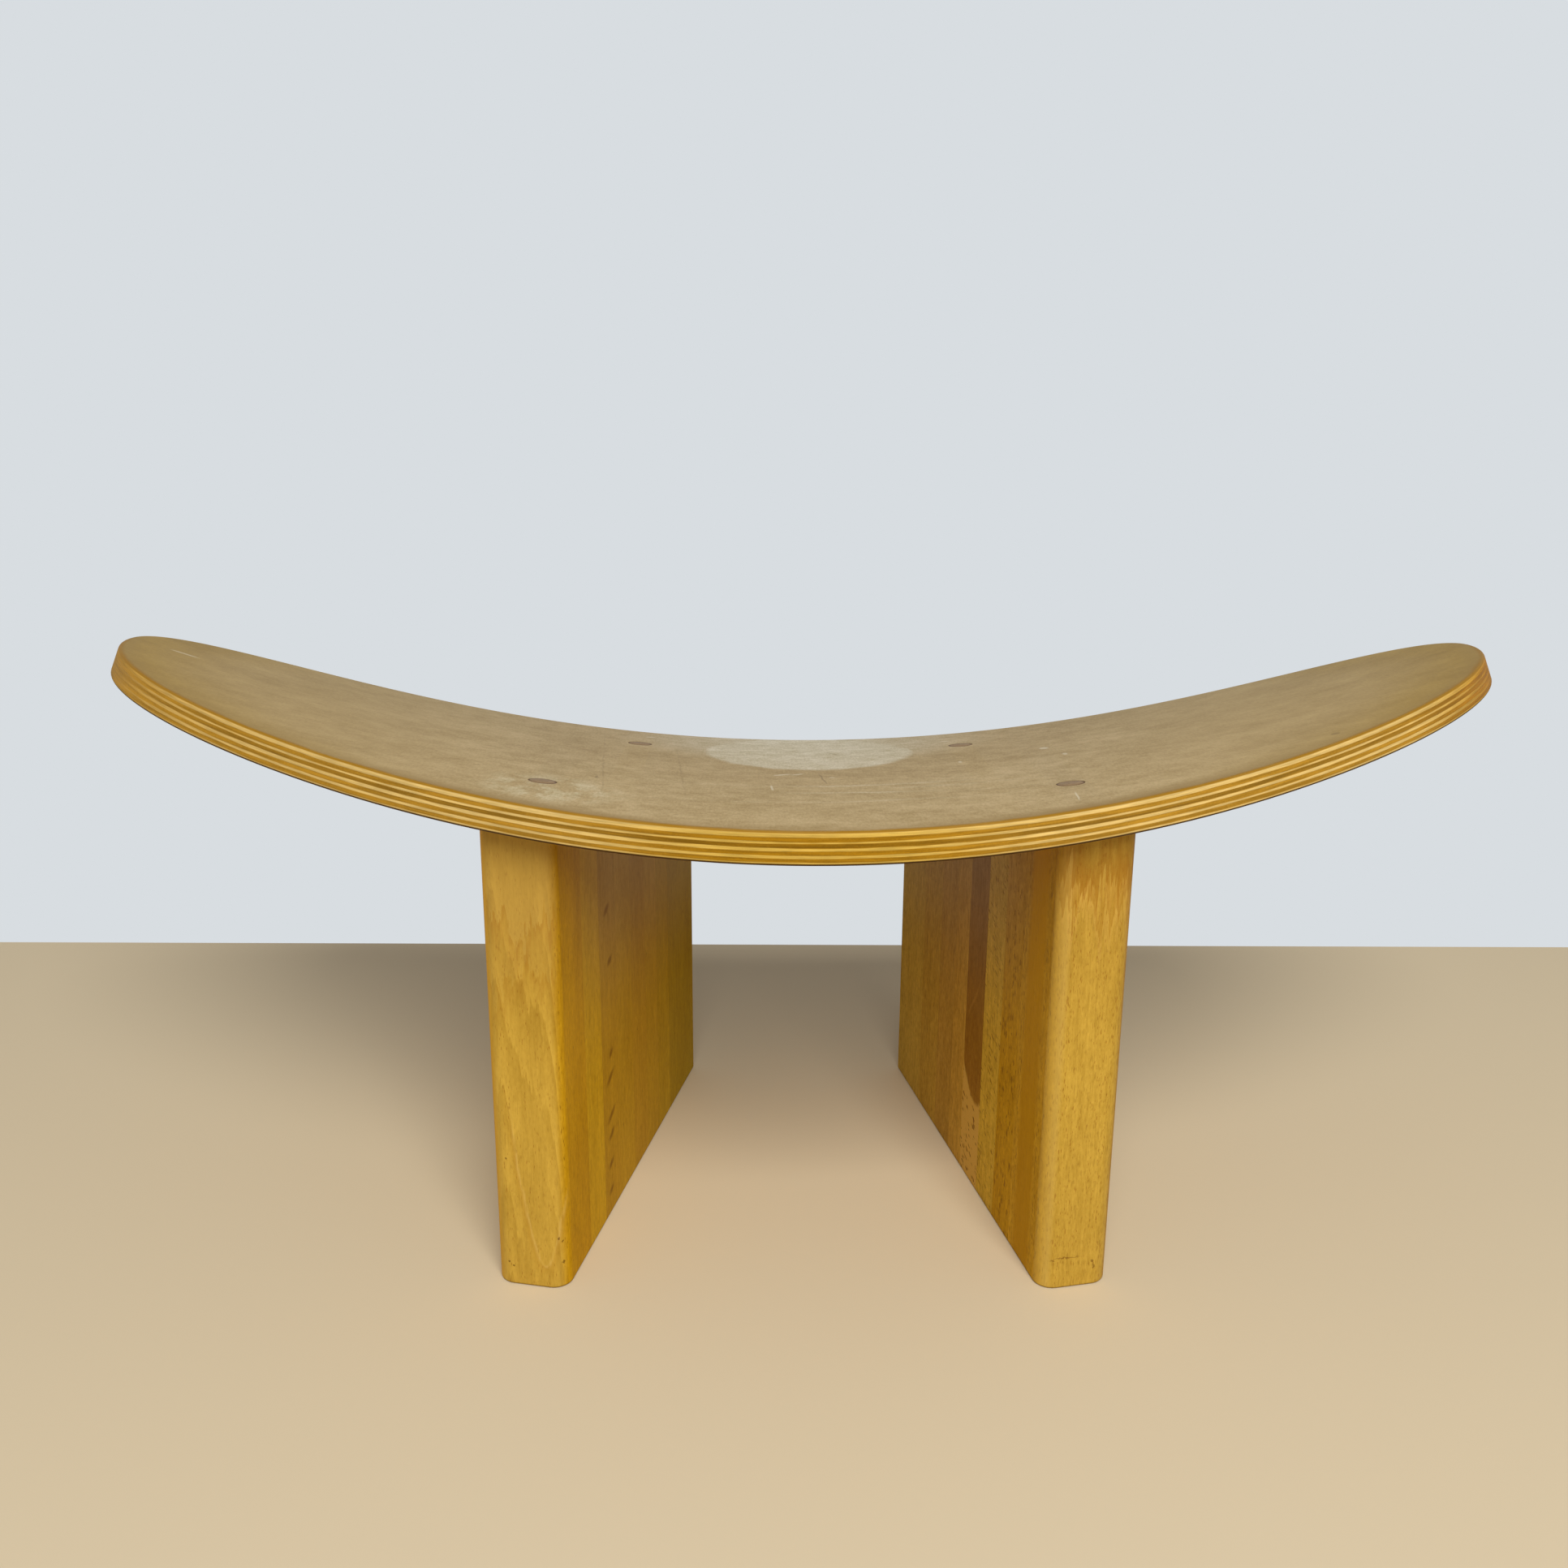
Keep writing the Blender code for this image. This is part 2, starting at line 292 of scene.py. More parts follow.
def cut_ply(top, bottom, eased_level=None):
    """One ply between two depths, pressed, in the frame of the seat."""
    bm = bmesh.new()
    bmesh.ops.create_circle(bm, cap_ends=True, segments=outline_steps, radius=1)
    for vertex in bm.verts:
        side = vertex.co.y
        along = half_length * vertex.co.x
        front, rear = blank_edges(along)
        vertex.co = (along, rear if side > 0 else front, -bottom)
    plate = bmesh.ops.extrude_face_region(bm, geom=bm.faces[:])
    raised = [item for item in plate["geom"] if isinstance(item, bmesh.types.BMVert)]
    bmesh.ops.translate(bm, verts=raised, vec=(0, 0, bottom - top))
    bmesh.ops.recalc_face_normals(bm, faces=bm.faces)
    if eased_level is not None:
        ease(bm, rim_edges(bm, -eased_level), rim_ease, 6)
    for number in range(1, saw_cuts):
        cut = seat_length * (number / saw_cuts - 0.5)
        bmesh.ops.bisect_plane(bm, geom=bm.verts[:] + bm.edges[:] + bm.faces[:], dist=weld / 10,
                               plane_co=(cut, 0, 0), plane_no=(1, 0, 0))
    for vertex in bm.verts:
        vertex.co = pressed(vertex.co)
    return bm


# %% [markdown]
# ## What a ply remembers
# The finish has to follow the bend and to know how the saw met the grain. Where the edge runs
# along the seat, every second ply shows long fibres and the others show their ends. Round the
# tips both are cut at a slant and look alike. So each point stores its place on the blank and
# how far the edge has turned: 0 where it runs along the seat, 1 where it runs across.


# %% Mark the places on the blank
def edge_turn(place):
    """How far the outline has turned across the seat near a place of the blank."""
    step = 0.001
    along = max(-half_length + step, min(place.x, half_length - step))
    side = 1 if place.y > sum(blank_edges(along)) / 2 else 0
    slope = (blank_edges(along + step)[side] - blank_edges(along - step)[side]) / (2 * step)
    return abs(slope) / math.hypot(1, slope)


def remember_blank(piece):
    """Store for each point its place on the blank and the turn of the edge."""
    to_seat = seat_frame.inverted()
    places = [flattened(to_seat @ vertex.co) for vertex in piece.data.vertices]
    blank = piece.data.attributes.new("blank", "FLOAT_VECTOR", "POINT")
    blank.data.foreach_set("vector", [value for place in places for value in place])
    turn = piece.data.attributes.new("turn", "FLOAT", "POINT")
    turn.data.foreach_set("value", [edge_turn(place) for place in places])


print("turn at the middle and near a tip", round(edge_turn(Vector((0, -0.1, 0))), 3),
      round(edge_turn(Vector((0.27, 0, 0))), 3))

# %% [markdown]
# ## Nodes in plain words
# A material made from nodes gets long, so the few nodes that it keeps using are given short
# names here: a sum, a soft step, a stretched noise, a mix of two colours. A new node joins the
# tree of the values that it is given. Colours are written as they look on a screen, from 0 to
# 255, and turned into the linear values of a shader.


# %% Small helpers for node materials
def screen(red, green, blue):
    """A screen colour as a shader takes it."""
    values = [value / 255 for value in (red, green, blue)]
    return (*[value / 12.92 if value <= 0.04045 else ((value + 0.055) / 1.055) ** 2.4
              for value in values], 1)


def new_finish(name, gloss=0.1):
    """A new material, its nodes and its shader. Satin varnish on wood shines only a little."""
    finish = bpy.data.materials.new(name)
    finish.use_nodes = True
    shader = finish.node_tree.nodes["Principled BSDF"]
    shader.inputs["Specular IOR Level"].default_value = gloss
    return finish, finish.node_tree, shader


def feed(socket, value):
    """Link another node's output to a socket, or write a plain value into it."""
    if isinstance(value, bpy.types.NodeSocket):
        socket.id_data.links.new(value, socket)
    else:
        socket.default_value = value


def node_from(kind, values, **settings):
    """A new node with its inputs and settings, in the tree of the inputs that are linked."""
    linked = [value for value in values.values() if isinstance(value, bpy.types.NodeSocket)]
    node = linked[0].id_data.nodes.new(kind)
    for name, setting in settings.items():
        setattr(node, name, setting)
    for name, value in values.items():
        feed(node.inputs[name], value)
    return node


def maths(operation, *values):
    """One sum."""
    return node_from("ShaderNodeMath", dict(enumerate(values)), operation=operation).outputs[0]


def times(value, *factors):
    """A value multiplied by one or more factors."""
    for factor in factors:
        value = maths("MULTIPLY", value, factor)
    return value


def minus(value, less):
    """A value less another one."""
    return maths("SUBTRACT", value, less)


def scaled(value, factor, plus):
    """A value multiplied by a factor, with another value added."""
    return maths("MULTIPLY_ADD", value, factor, plus)


def fade(value, start, end, low=0.0, high=1.0):
    """A soft step from low, at start, to high, at end."""
    values = {"Value": value, "From Min": start, "From Max": end, "To Min": low, "To Max": high}
    node = node_from("ShaderNodeMapRange", values, interpolation_type="SMOOTHSTEP")
    return node.outputs["Result"]


# %% Helpers for places
def object_place(tree):
    """Where a point of the piece lies."""
    return tree.nodes.new("ShaderNodeTexCoord").outputs["Object"]


def split_place(place):
    """The x, y and z of a place."""
    return node_from("ShaderNodeSeparateXYZ", {0: place}).outputs


def aside(split):
    """How far a place lies to either side."""
    return maths("ABSOLUTE", split["X"])


def length_of(place):
    """How far a place lies from the origin."""
    return node_from("ShaderNodeVectorMath", {0: place}, operation="LENGTH").outputs["Value"]


def stretched(place, scale, shift=(0, 0, 0)):
    """A place multiplied by a scale for each direction and then shifted."""
    values = {0: place, 1: scale, 2: shift}
    return node_from("ShaderNodeVectorMath", values, operation="MULTIPLY_ADD").outputs["Vector"]


def seen_from(place, centre, turn, size=(1, 1, 1)):
    """A place as seen from a frame with a middle, a turn and a size of its own."""
    values = {"Vector": place, "Location": centre, "Rotation": turn, "Scale": size}
    return node_from("ShaderNodeMapping", values, vector_type="TEXTURE").outputs["Vector"]


def loosened(place, scale, amount):
    """A place moved about a little by noise, so that what is drawn on it loses its ruler look."""
    noise = node_from("ShaderNodeTexNoise", {"Vector": place, "Scale": scale, "Detail": 3})
    return stretched(noise.outputs["Color"], (amount,) * 3,
                     stretched(place, (1, 1, 1), (-amount / 2,) * 3))


# %% Helpers for patterns
def clouds(place, scale, detail=2.0, roughness=0.5, shift=(0, 0, 0)):
    """Soft noise between 0 and 1, so many cells a metre in each direction."""
    values = {"Vector": stretched(place, scale, shift), "Scale": 1, "Detail": detail,
              "Roughness": roughness}
    return node_from("ShaderNodeTexNoise", values).outputs["Fac"]


def flecks(place, scale, share, size, shift=(0, 0, 0)):
    """Small spots, 1 inside and 0 outside, in a share of the cells of a stretched grid."""
    values = {"Vector": stretched(place, scale, shift), "Scale": 1}
    cells = node_from("ShaderNodeTexVoronoi", values).outputs
    chance = node_from("ShaderNodeSeparateColor", {"Color": cells["Color"]}).outputs
    reach = times(maths("ADD", chance["Green"], 0.5), size)
    nearness = maths("DIVIDE", cells["Distance"], reach)
    return times(fade(chance["Red"], share, share * 0.8), fade(nearness, 1.0, 0.5))


def blend(share, first, second, mode="MIX"):
    """A colour between two others."""
    values = {"Factor": share, 6: first, 7: second}
    return node_from("ShaderNodeMix", values, data_type="RGBA", blend_type=mode).outputs[2]


def painted(base, tone, *shares):
    """A screen colour painted over another colour, as strongly as the shares multiply to."""
    return blend(times(*shares), base, screen(*tone))


def grained(base, share):
    """Wood round a middle tone: deeper and redder where share is 0, paler where it is 1."""
    return blend(1.0, base, blend(share, (0.78, 0.74, 0.60, 1), (1.20, 1.23, 1.34, 1)), "MULTIPLY")


def together(patterns):
    """Patterns of middle 0.5 added up with weights, again round 0.5."""
    total = 0.5
    for pattern, weight in patterns:
        total = scaled(minus(pattern, 0.5), weight, total)
    return total


def dress(shader, colour, roughness, height, distance):
    """Give a shader its colour and roughness, and raise its surface where height is high."""
    bump = node_from("ShaderNodeBump", {"Height": height, "Strength": 1, "Distance": distance})
    for name, value in (("Base Color", colour), ("Roughness", roughness),
                        ("Normal", bump.outputs["Normal"])):
        feed(shader.inputs[name], value)


# %% Helpers for marks
plain = 10
to_metres = 0.001


def mark(place, centre, size, turn=(0, 0, 0), soft=0.5):
    """An oval mark, 1 inside and 0 outside: its middle, half its size, its turn, its soft rim."""
    return fade(length_of(seen_from(place, centre, turn, size)), 1, 1 - soft)


def marks(place, rows, through=(2, 0, plain), soft=0.5):
    """Ovals as one mark: rows of middle and half size on two axes, in mm, and turn.

    The third axis has its number, the middle of the ovals on it and their half size there.
    """
    axis, middle, depth = through
    drawn = 0.0
    for *numbers, turn in rows:
        first, second, wide, high = [to_metres * number for number in numbers]
        centre, size, turns = [first, second], [wide, high], [0, 0]
        for values, value in ((centre, middle), (size, depth), (turns, turn)):
            values.insert(axis, value)
        drawn = maths("MAXIMUM", drawn, mark(place, centre, size, turns, soft))
    return drawn


# %% [markdown]
# ## The plies on the seat's edge
# On the varnished edge a ply with its fibres along the seat is pale and streaky, and one with
# its fibres across shows their ends, brown and speckled. One function makes both, and the turn
# of the edge brings them together towards the tips. Long wedges of light and dark come from
# growth rings that the saw met at a low angle.

# %% Finish of a ply
pale_edges = screen(192, 157, 70), screen(200, 170, 104)
brown_edges = screen(146, 103, 9), screen(154, 113, 32)
slant_edge = screen(174, 129, 34)
right_tip_tint = 0.84, 0.68, 0.18, 1
ply_bottoms = (0.0022, 0.0034, 0.0043, 0.0055, 0.0068, 0.0080, 0.0091, 0.0102, seat_thickness)
ply_depth = {4: 0.74, 6: 1.06, 7: 0.96, 8: 0.98}


def stored(tree, name):
    """What each point of a piece has stored under a name."""
    node = tree.nodes.new("ShaderNodeAttribute")
    node.attribute_name = name
    return node.outputs


def read_blank(tree):
    """The stored place on the blank, whole and split, and the stored turn of the edge."""
    blank = stored(tree, "blank")["Vector"]
    return blank, split_place(blank), stored(tree, "turn")["Fac"]


def ply_edge_colour(tree, number):
    """Colour of a ply on the seat's edge, and its grain."""
    blank, split, turn = read_blank(tree)
    shift = (number * 7.3, number * 3.1, number * 5.7)
    to_side = fade(aside(split), 0.02, 0.09)
    pale_edge, base = blend(to_side, *pale_edges), blend(to_side, *brown_edges)
    if number % 2 == 1:
        upper = ply_bottoms[number - 2] if number > 1 else -plain
        from_seam = maths("MINIMUM", minus(split["Z"], upper),
                          minus(ply_bottoms[number - 1], split["Z"]))
        waves = clouds(blank, (26, 26, 0), 3, 0.6, shift)
        past_seam = minus(from_seam, scaled(waves, 0.0012, -0.00052))
        base = blend(fade(past_seam, -0.00018, 0.00024), base, pale_edge)
        fine, weight = clouds(blank, (130, 130, 4200), 3, 0.6, shift), 0.55
    else:
        fine, weight = clouds(blank, (1100, 1100, 2400), 2, 0.6, shift), 0.25
    wedges = clouds(blank, (42, 42, 900), 3, 0.55, shift)
    grain = scaled(fine, weight, times(wedges, 1 - weight))
    slanting = fade(turn, fade(split["X"], -0.02, 0.02, 0.30, 0.50),
                    fade(split["X"], -0.02, 0.02, 0.90, 0.99))
    base = blend(slanting, base, slant_edge)
    tint = blend(fade(split["X"], 0.205, 0.275), (1, 1, 1, 1), right_tip_tint)
    base = blend(1.0, base, tint, "MULTIPLY")
    middle_depth = ply_depth.get(number, 1.0)
    # The last factor makes the edge brighter towards the right: painted light.
    shade = times(fade(grain, 0.36, 0.64, 0.78, 1.20),
                  scaled(slanting, 1 - middle_depth, middle_depth),
                  fade(split["X"], -0.05, 0.10, 1.0, 1.10))
    return stretched(base, shade), grain


def ply_finish(number):
    """Varnished edge of one of the inner plies."""
    finish, tree, shader = new_finish(f"ply_{number}_edge")
    colour, grain = ply_edge_colour(tree, number)
    dress(shader, colour, 0.42, grain, 0.00004)
    return finish


# %% [markdown]
# ## The face of the seat
# The top veneer is sanded, thinly varnished and worn matt by use. Its tone is greyer than the
# rest of the wood, partly a painted sheen of the pale wall, and a pale area towards its rear
# middle is a painted reflection. Its fine grain runs along the seat. Where the face rolls over
# into the edge, the varnish is thicker and browner, and below that the veneer shows its pale
# edge. The depth stored for each point tells these three zones apart.

# %% Wear and a painted reflection on the top veneer
sheen_and_wear_tone = 220, 209, 180


def face_wear(face, blank):
    """Lighter and darker marks of use on the seat's face; a painted reflection at its rear."""
    loose = loosened(blank, 55, 0.008)
    # The pale area towards the rear middle, with its softer surround, is a painted reflection of
    # the pale wall.
    painted_reflection = mark(loose, (0.003, 0.066, 0), (0.047, 0.050, plain), soft=0.12)
    reflection_spread = mark(loose, (0.002, 0.092, 0), (0.092, 0.062, plain), soft=0.8)
    rear = mark(loose, (0.003, 0.100, 0), (0.055, 0.075, plain), soft=0.9)
    halo = mark(loose, (0.004, 0.094, 0), (0.122, 0.117, plain), soft=0.05)
    face = painted(face, (166, 138, 88), halo, 0.34)
    pale = maths("MAXIMUM", times(painted_reflection, scaled(rear, 0.12, 0.66)), times(reflection_spread, 0.62))
    face = painted(face, sheen_and_wear_tone, pale)
    dull = mark(loose, (-0.101, 0.022, 0), (0.021, 0.037, plain), soft=0.25)
    face = painted(face, (160, 132, 82), dull, 0.22)
    haze = mark(loose, (-0.091, -0.062, 0), (0.032, 0.034, plain), soft=0.7)
    speckle = fade(clouds(blank, (120, 60, 1), 4, 0.7), 0.42, 0.58, 0.0, 0.74)
    face = painted(face, (206, 190, 150), haze, speckle)
    arcs = clouds(loosened(blank, 12, 0.02), (7, 170, 1), 3, 0.6, (2, 1, 0))
    worn = mark(blank, (0.01, -0.035, 0), (0.12, 0.035, plain), soft=0.8)
    return painted(face, sheen_and_wear_tone, worn, fade(arcs, 0.54, 0.7, 0, 0.4))


def face_scratches(face, blank):
    """Joints of the veneer, fine scratches and small dents on the face of the seat."""
    loose = loosened(blank, 90, 0.002)
    joints = marks(loose, [(-79, 5, 0.6, 125, 0.096), (-49, 12, 0.6, 85, 0.082)], soft=0.9)
    broken = fade(clouds(blank, (300, 90, 1), 2), 0.4, 0.6, 0.25, 0.8)
    face = painted(face, (118, 92, 46), joints, broken, 0.38)
    pale = marks(loose, [(-8.5, 6, 5, 1.4, 0.5), (-12.5, -26, 0.6, 7.5, 0.05),
                         (-2.5, 7.5, 1.2, 4, -0.9), (11, -0.5, 1.4, 1.2, 0),
                         (64.4, 25, 1, 2.6, 0), (100.7, 38, 2.2, 3, 0),
                         (105.8, 17, 1.2, 2.8, 0), (93, -74, 0.5, 10, -0.1),
                         (-67, 95, 3.2, 1.4, 0.8), (64, 86.5, 3.4, 1.2, 0),
                         (-258, 39, 7, 1.2, 0.3)])
    face = painted(face, (222, 208, 176), pale, 0.60)
    dark = marks(loose, [(-78.5, -26, 0.7, 3, 0), (7.2, -3, 0.5, 16.5, 0.095),
                         (14, 64, 0.5, 7.5, 0.55), (192, -48, 2, 2.2, 0),
                         (244, -45.5, 0.6, 1.2, 0)])
    return painted(face, (100, 74, 32), dark, 0.4)


# %% Finish of the top veneer
# A greyed tone for the face, partly a painted sheen of the pale wall.
face_tone_with_sheen = screen(182, 156, 108)
rim_tone = screen(160, 128, 52)
arris_brown = 150, 108, 24


def front_line(along):
    """The front edge of the blank over a place along it, as blank_edges gives it."""
    reach = maths("DIVIDE", along, half_length)
    square = times(reach, reach)
    inside = minus(1.0, square)
    slack = times(square, inside, 4 * front_slack_share)
    depth = times(maths("SQRT", inside), minus(1.0, slack))
    return scaled(depth, -tip_setback, tip_level)


def from_rim(blank, split, turn):
    """Distance from the front edge, with a little noise."""
    behind = minus(split["Y"], front_line(split["X"]))
    straight = maths("SQRT", minus(1.0, times(turn, turn)))
    waves = clouds(blank, (45, 45, 1), 3, 0.65, (5, 0, 0))
    return scaled(straight, behind, scaled(waves, 0.004, -0.002))


def face_finish():
    """Top veneer with its worn face, painted sheen and reflection, brown arris and pale edge."""
    finish, tree, shader = new_finish("top_veneer")
    blank, split, turn = read_blank(tree)
    sideways = aside(split)
    calm = fade(sideways, 0.09, 0.19, 1.0, 0.5)
    soft = clouds(blank, (18, 36, 1), 3, 0.6)
    mottle = clouds(blank, (110, 120, 1), 4, 0.74)
    grain = clouds(blank, (150, 700, 1), 3, 0.7)
    specks = clouds(blank, (1100, 300, 1), 2, 0.7)
    share = together(((soft, 1.3), (mottle, times(calm, 1.9)),
                      (grain, times(calm, 0.75)), (specks, times(calm, 1.4))))
    rim = mark(loosened(blank, 30, 0.02), (0, tip_level, 0),
               (half_length, tip_setback, plain), soft=0.20)
    browned = times(fade(sideways, 0.08, 0.24), scaled(rim, -0.55, 0.95))
    tone = blend(browned, face_tone_with_sheen, rim_tone)
    face = grained(face_wear(tone, blank), share)
    face = face_scratches(face, blank)
    distance = from_rim(blank, split, turn)
    face = painted(face, (149, 120, 66), fade(distance, 0.015, 0.001),
                   fade(sideways, 0.02, 0.09, 0.45, 0.85),
                   fade(sideways, 0.12, 0.20, 1.0, 0.45))
    face = painted(face, arris_brown, fade(distance, 0.0030, 0.0008), 0.85)
    edge = ply_edge_colour(tree, 1)[0]
    worn = fade(clouds(blank, (60, 60, 1), 3, 0.7), 0.35, 0.65, 0.00002, 0.00040)
    arris = painted(face, arris_brown, fade(minus(split["Z"], worn), 0, 0.00015))
    colour = blend(fade(split["Z"], 0.00055, 0.00095), arris, edge)
    dress(shader, colour, 0.5, maths("ADD", grain, mottle), 0.00002)
    return finish


def underside_finish():
    """Bottom veneer: its pale edge, its arris in painted shadow, and its face seen from below."""
    finish, tree, shader = new_finish("bottom_veneer")
    blank, split = read_blank(tree)[:2]
    soft = clouds(blank, (8, 40, 1), 4, 0.6)
    grain = clouds(blank, (30, 900, 1), 4, 0.6)
    share = scaled(soft, 0.6, times(grain, 0.4))
    face = grained(screen(162, 124, 66), fade(share, 0.35, 0.65))
    edge = ply_edge_colour(tree, 9)[0]
    below = minus(split["Z"], seat_thickness)
    # The bottom arris is painted dark brown: a painted shadow along the seat's lower edge.
    arris = painted(edge, (70, 44, 8), fade(below, -0.0010, -0.0006))
    colour = blend(fade(below, -0.0001, -0.00001), arris, face)
    dress(shader, colour, 0.45, grain, 0.00003)
    return finish


# %% Press the nine plies
hairline = 0.00002
top = 0
for number, bottom in enumerate(ply_bottoms, start=1):
    eased_level = {1: top, 9: bottom}.get(number)
    make_finish = {1: face_finish, 9: underside_finish}.get(number)
    lowest = bottom if number == 9 else bottom - hairline
    ply = new_piece(f"ply_{number}", cut_ply(top, lowest, eased_level), seat_frame)
    bore(ply)
    remember_blank(ply)
    stand_in(ply, f"seat_ply_{number}", make_finish() if make_finish else ply_finish(number))
    top = bottom
    print(ply.name, "faces", len(ply.data.polygons))

# %% [markdown]
# ## Beech for the staves
# Each stave is a strip of another board, so it has rings round a heart of its own, a tone of
# its own, and its own share of dark flecks. A solid pattern gives all of its sides grain that
# belongs together: rings round a leaning axis make straight lines on one side and pointed
# flames on another, as sawing does. A ring is sharp on one side and fades on the other. The
# narrow front and rear edges of a leg are given a paler tone than its broad faces, and the
# upper part of every stave gets painted shade from the seat.


# %% Wood of a stave
edge_tone = screen(193, 154, 59)
fleck_brown = 110, 66, 10


def growth_rings(place, split, heart, lean, ring_gap, fringe):
    """Rings round a leaning axis: 0 at a ring's sharp side, rising to 1 across it."""
    away = [scaled(split["Z"], lean[side], minus(split[side], heart[side])) for side in range(2)]
    radius = maths("SQRT", scaled(away[0], away[0], times(away[1], away[1])))
    wander = clouds(place, (40, 40, 6), 2, 0.5, (*heart, 0))
    fingers = clouds(place, (520, 520, 11), 2, 0.5, (*heart, 3))
    ring_place = scaled(radius, 1 / ring_gap, scaled(wander, 1.2, times(fingers, fringe)))
    ring = maths("FRACT", ring_place)
    strength = fade(clouds(place, (60, 60, 14), 1, 0.5, (*heart, 8)), 0.3, 0.6)
    rising = times(fade(ring, 0, 1), fade(ring, 1, 0.94))
    return scaled(minus(rising, 0.5), strength, 0.5)


def dashes(place, share, width, length, slant, shift):
    """Short flecks along the grain, in a share of the places that could hold one."""
    slanted = seen_from(loosened(place, 700, 1.2 * width), (0, 0, 0), (-slant, 0, 0))
    gap = 1.5
    spots = flecks(slanted, (1 / (gap * width), 1 / (gap * width), 1 / (gap * length)),
                   share, 0.34, shift)
    columns = clouds(place, (420, 420, 8), 1, 0.5, shift)
    return times(spots, fade(columns, 0.38, 0.52, 0.25, 1.0))


def stave_wood(tree, leg_place, tone, heart, lean, ring_gap, figure, fringe, rough):
    """Varnished beech in the frame of a leg: its colour, place, fine fibres and narrow ends."""
    place = seen_from(object_place(tree), leg_place.to_translation(), leg_place.to_euler())
    split = split_place(place)
    rings = growth_rings(place, split, heart, lean, ring_gap, fringe)
    shift = (heart[0] * 50, heart[1] * 90, 4)
    fibres = clouds(place, (1300, 600, 110), 3, 0.6, shift)
    specks = clouds(place, (1100, 700, 420), 2, 0.6, shift)
    mottle = clouds(place, (300, 300, 60), 3, 0.6, shift)
    drift = clouds(place, (45, 45, 9), 2, 0.5, shift)
    narrow = fade(aside(split), 0.0139, 0.0110)
    shown = times(fade(narrow, 0, 1, 0.35, 1), figure)
    coarse = fade(narrow, 0, 1, 1.5 * rough, rough)
    share = together(((rings, shown), (fibres, coarse), (specks, coarse),
                      (mottle, 0.4 + 0.4 * rough), (drift, 0.8)))
    outward = times(split["X"], math.copysign(1, leg_place.translation.x))
    broad = blend(fade(outward, 0.002, 0.012, 0, 0.6), tone, edge_tone)
    base = blend(narrow, broad, edge_tone)
    # Painted shade under the seat: the upper part of each stave turns darker, brown at its front
    # and grey towards its rear, where the grey is painted light from the pale wall; the narrow
    # edges take a darker brown.
    painted_seat_shade = blend(fade(split["Y"], -0.085, -0.020), screen(128, 88, 20), screen(150, 142, 132))
    painted_seat_shade = painted(painted_seat_shade, (150, 110, 34), narrow)
    base = blend(fade(split["Z"], 0.080, 0.155, 0, 0.34), base, painted_seat_shade)
    pores = fade(clouds(place, (1700, 900, 260), 1, 0.5, shift), 0.58, 0.70)
    wood = painted(grained(base, share), fleck_brown, pores, 0.25 * rough)
    return wood, place, split, fibres, narrow


# %% Finish of a stave
def stave_finish(name, leg_place, rough, tone, heart, lean, ring_gap, figure, fringe, *fleck):
    """One stave's finish: its wood, its flecks, and painted contact shadow with dirt at its foot.
    """
    finish, tree, shader = new_finish(name)
    wood, place, split, fibres, narrow = stave_wood(tree, leg_place, tone, heart, lean,
                                                    ring_gap, figure, fringe, rough)
    gloss = maths("MAXIMUM", fade(split["Z"], 0.06, 0.15, 0.006, 0.10), times(narrow, 0.06))
    feed(shader.inputs["Specular IOR Level"], gloss)
    spots = dashes(place, *fleck, (heart[0] * 500, heart[1] * 300, 0))
    fleck_tone = blend(narrow, screen(*fleck_brown), screen(136, 76, 6))
    depth = fade(narrow, 0, 1, 0.60, 0.48)
    colour = blend(times(spots, depth), wood, fleck_tone)
    for paint in marks_on_staves.get(name, []):
        colour = paint(place, split, colour)
    # A darker band along the foot: painted contact shadow against the floor, and dirt.
    colour = painted(colour, (84, 56, 22), fade(split["Z"], 0.0012, 0.0002), 0.6)
    dress(shader, colour, 0.4, minus(fibres, spots), 0.00004 * rough)
    return finish


# %% [markdown]
# ## Marks that only some staves have
# The dark heartwood of one stave ends in a curved line low down, with pale flecked wood under
# it. The two front edges have a few dents near the foot, and a frayed field of paler or darker
# wood at the top, where the saw ran out of one ring into the next. Each mark is a small
# function that paints over the wood that it is given.


# %% Frayed fields and lines on the two fronts
def frayed(place, split, level, reach, shift, short):
    """Height over a level whose edge is frayed into upright fingers."""
    fingers = clouds(place, (640, 640, short), 2, 0.6, shift)
    waves = clouds(place, (120, 120, 4), 1, 0.5, shift)
    height = scaled(maths("ADD", fingers, waves), reach, split["Z"])
    return minus(height, level + reach)


def pale_field(place, split, wood):
    """Paler plain wood at the top of the left leg's front, and the deeper fringe under it."""
    mottles = fade(clouds(place, (620, 620, 120), 2, 0.6, (1, 2, 3)), 0.38, 0.56, 0.35, 1.0)
    front = fade(split["Y"], -0.086, -0.091)
    for level, reach, strength, bow in ((0.134, 0.040, 1.0, 1.1), (0.121, 0.036, 0.6, 0.3)):
        height = frayed(place, split, level, reach, (level * 90, 2, 0), 75)
        height = minus(height, times(aside(split), bow))
        wood = painted(wood, (160, 112, 34), fade(height, -0.014, -0.001),
                       fade(height, 0.0010, 0), front, mottles, 0.6 * strength)
        wood = painted(wood, (186, 150, 76), fade(height, 0, 0.0015), front, 0.25 * strength)
    return wood


def dark_field(place, split, wood):
    """Deeper wood at the top of the right leg's front, ending in upright points."""
    front = fade(split["Y"], -0.084, -0.091)
    for level, reach, strength in ((0.159, 0.052, 0.5), (0.150, 0.056, 0.35)):
        height = frayed(place, split, level, reach, (level * 70, 5, 0), 32)
        wood = painted(wood, (216, 170, 84), fade(height, -0.012, -0.001),
                       fade(height, 0.0005, -0.0002), front, 0.22)
        wood = painted(wood, (158, 104, 24), fade(height, -0.0005, 0.0015),
                       fade(height, 0.022, 0.002), front, strength)
    return wood


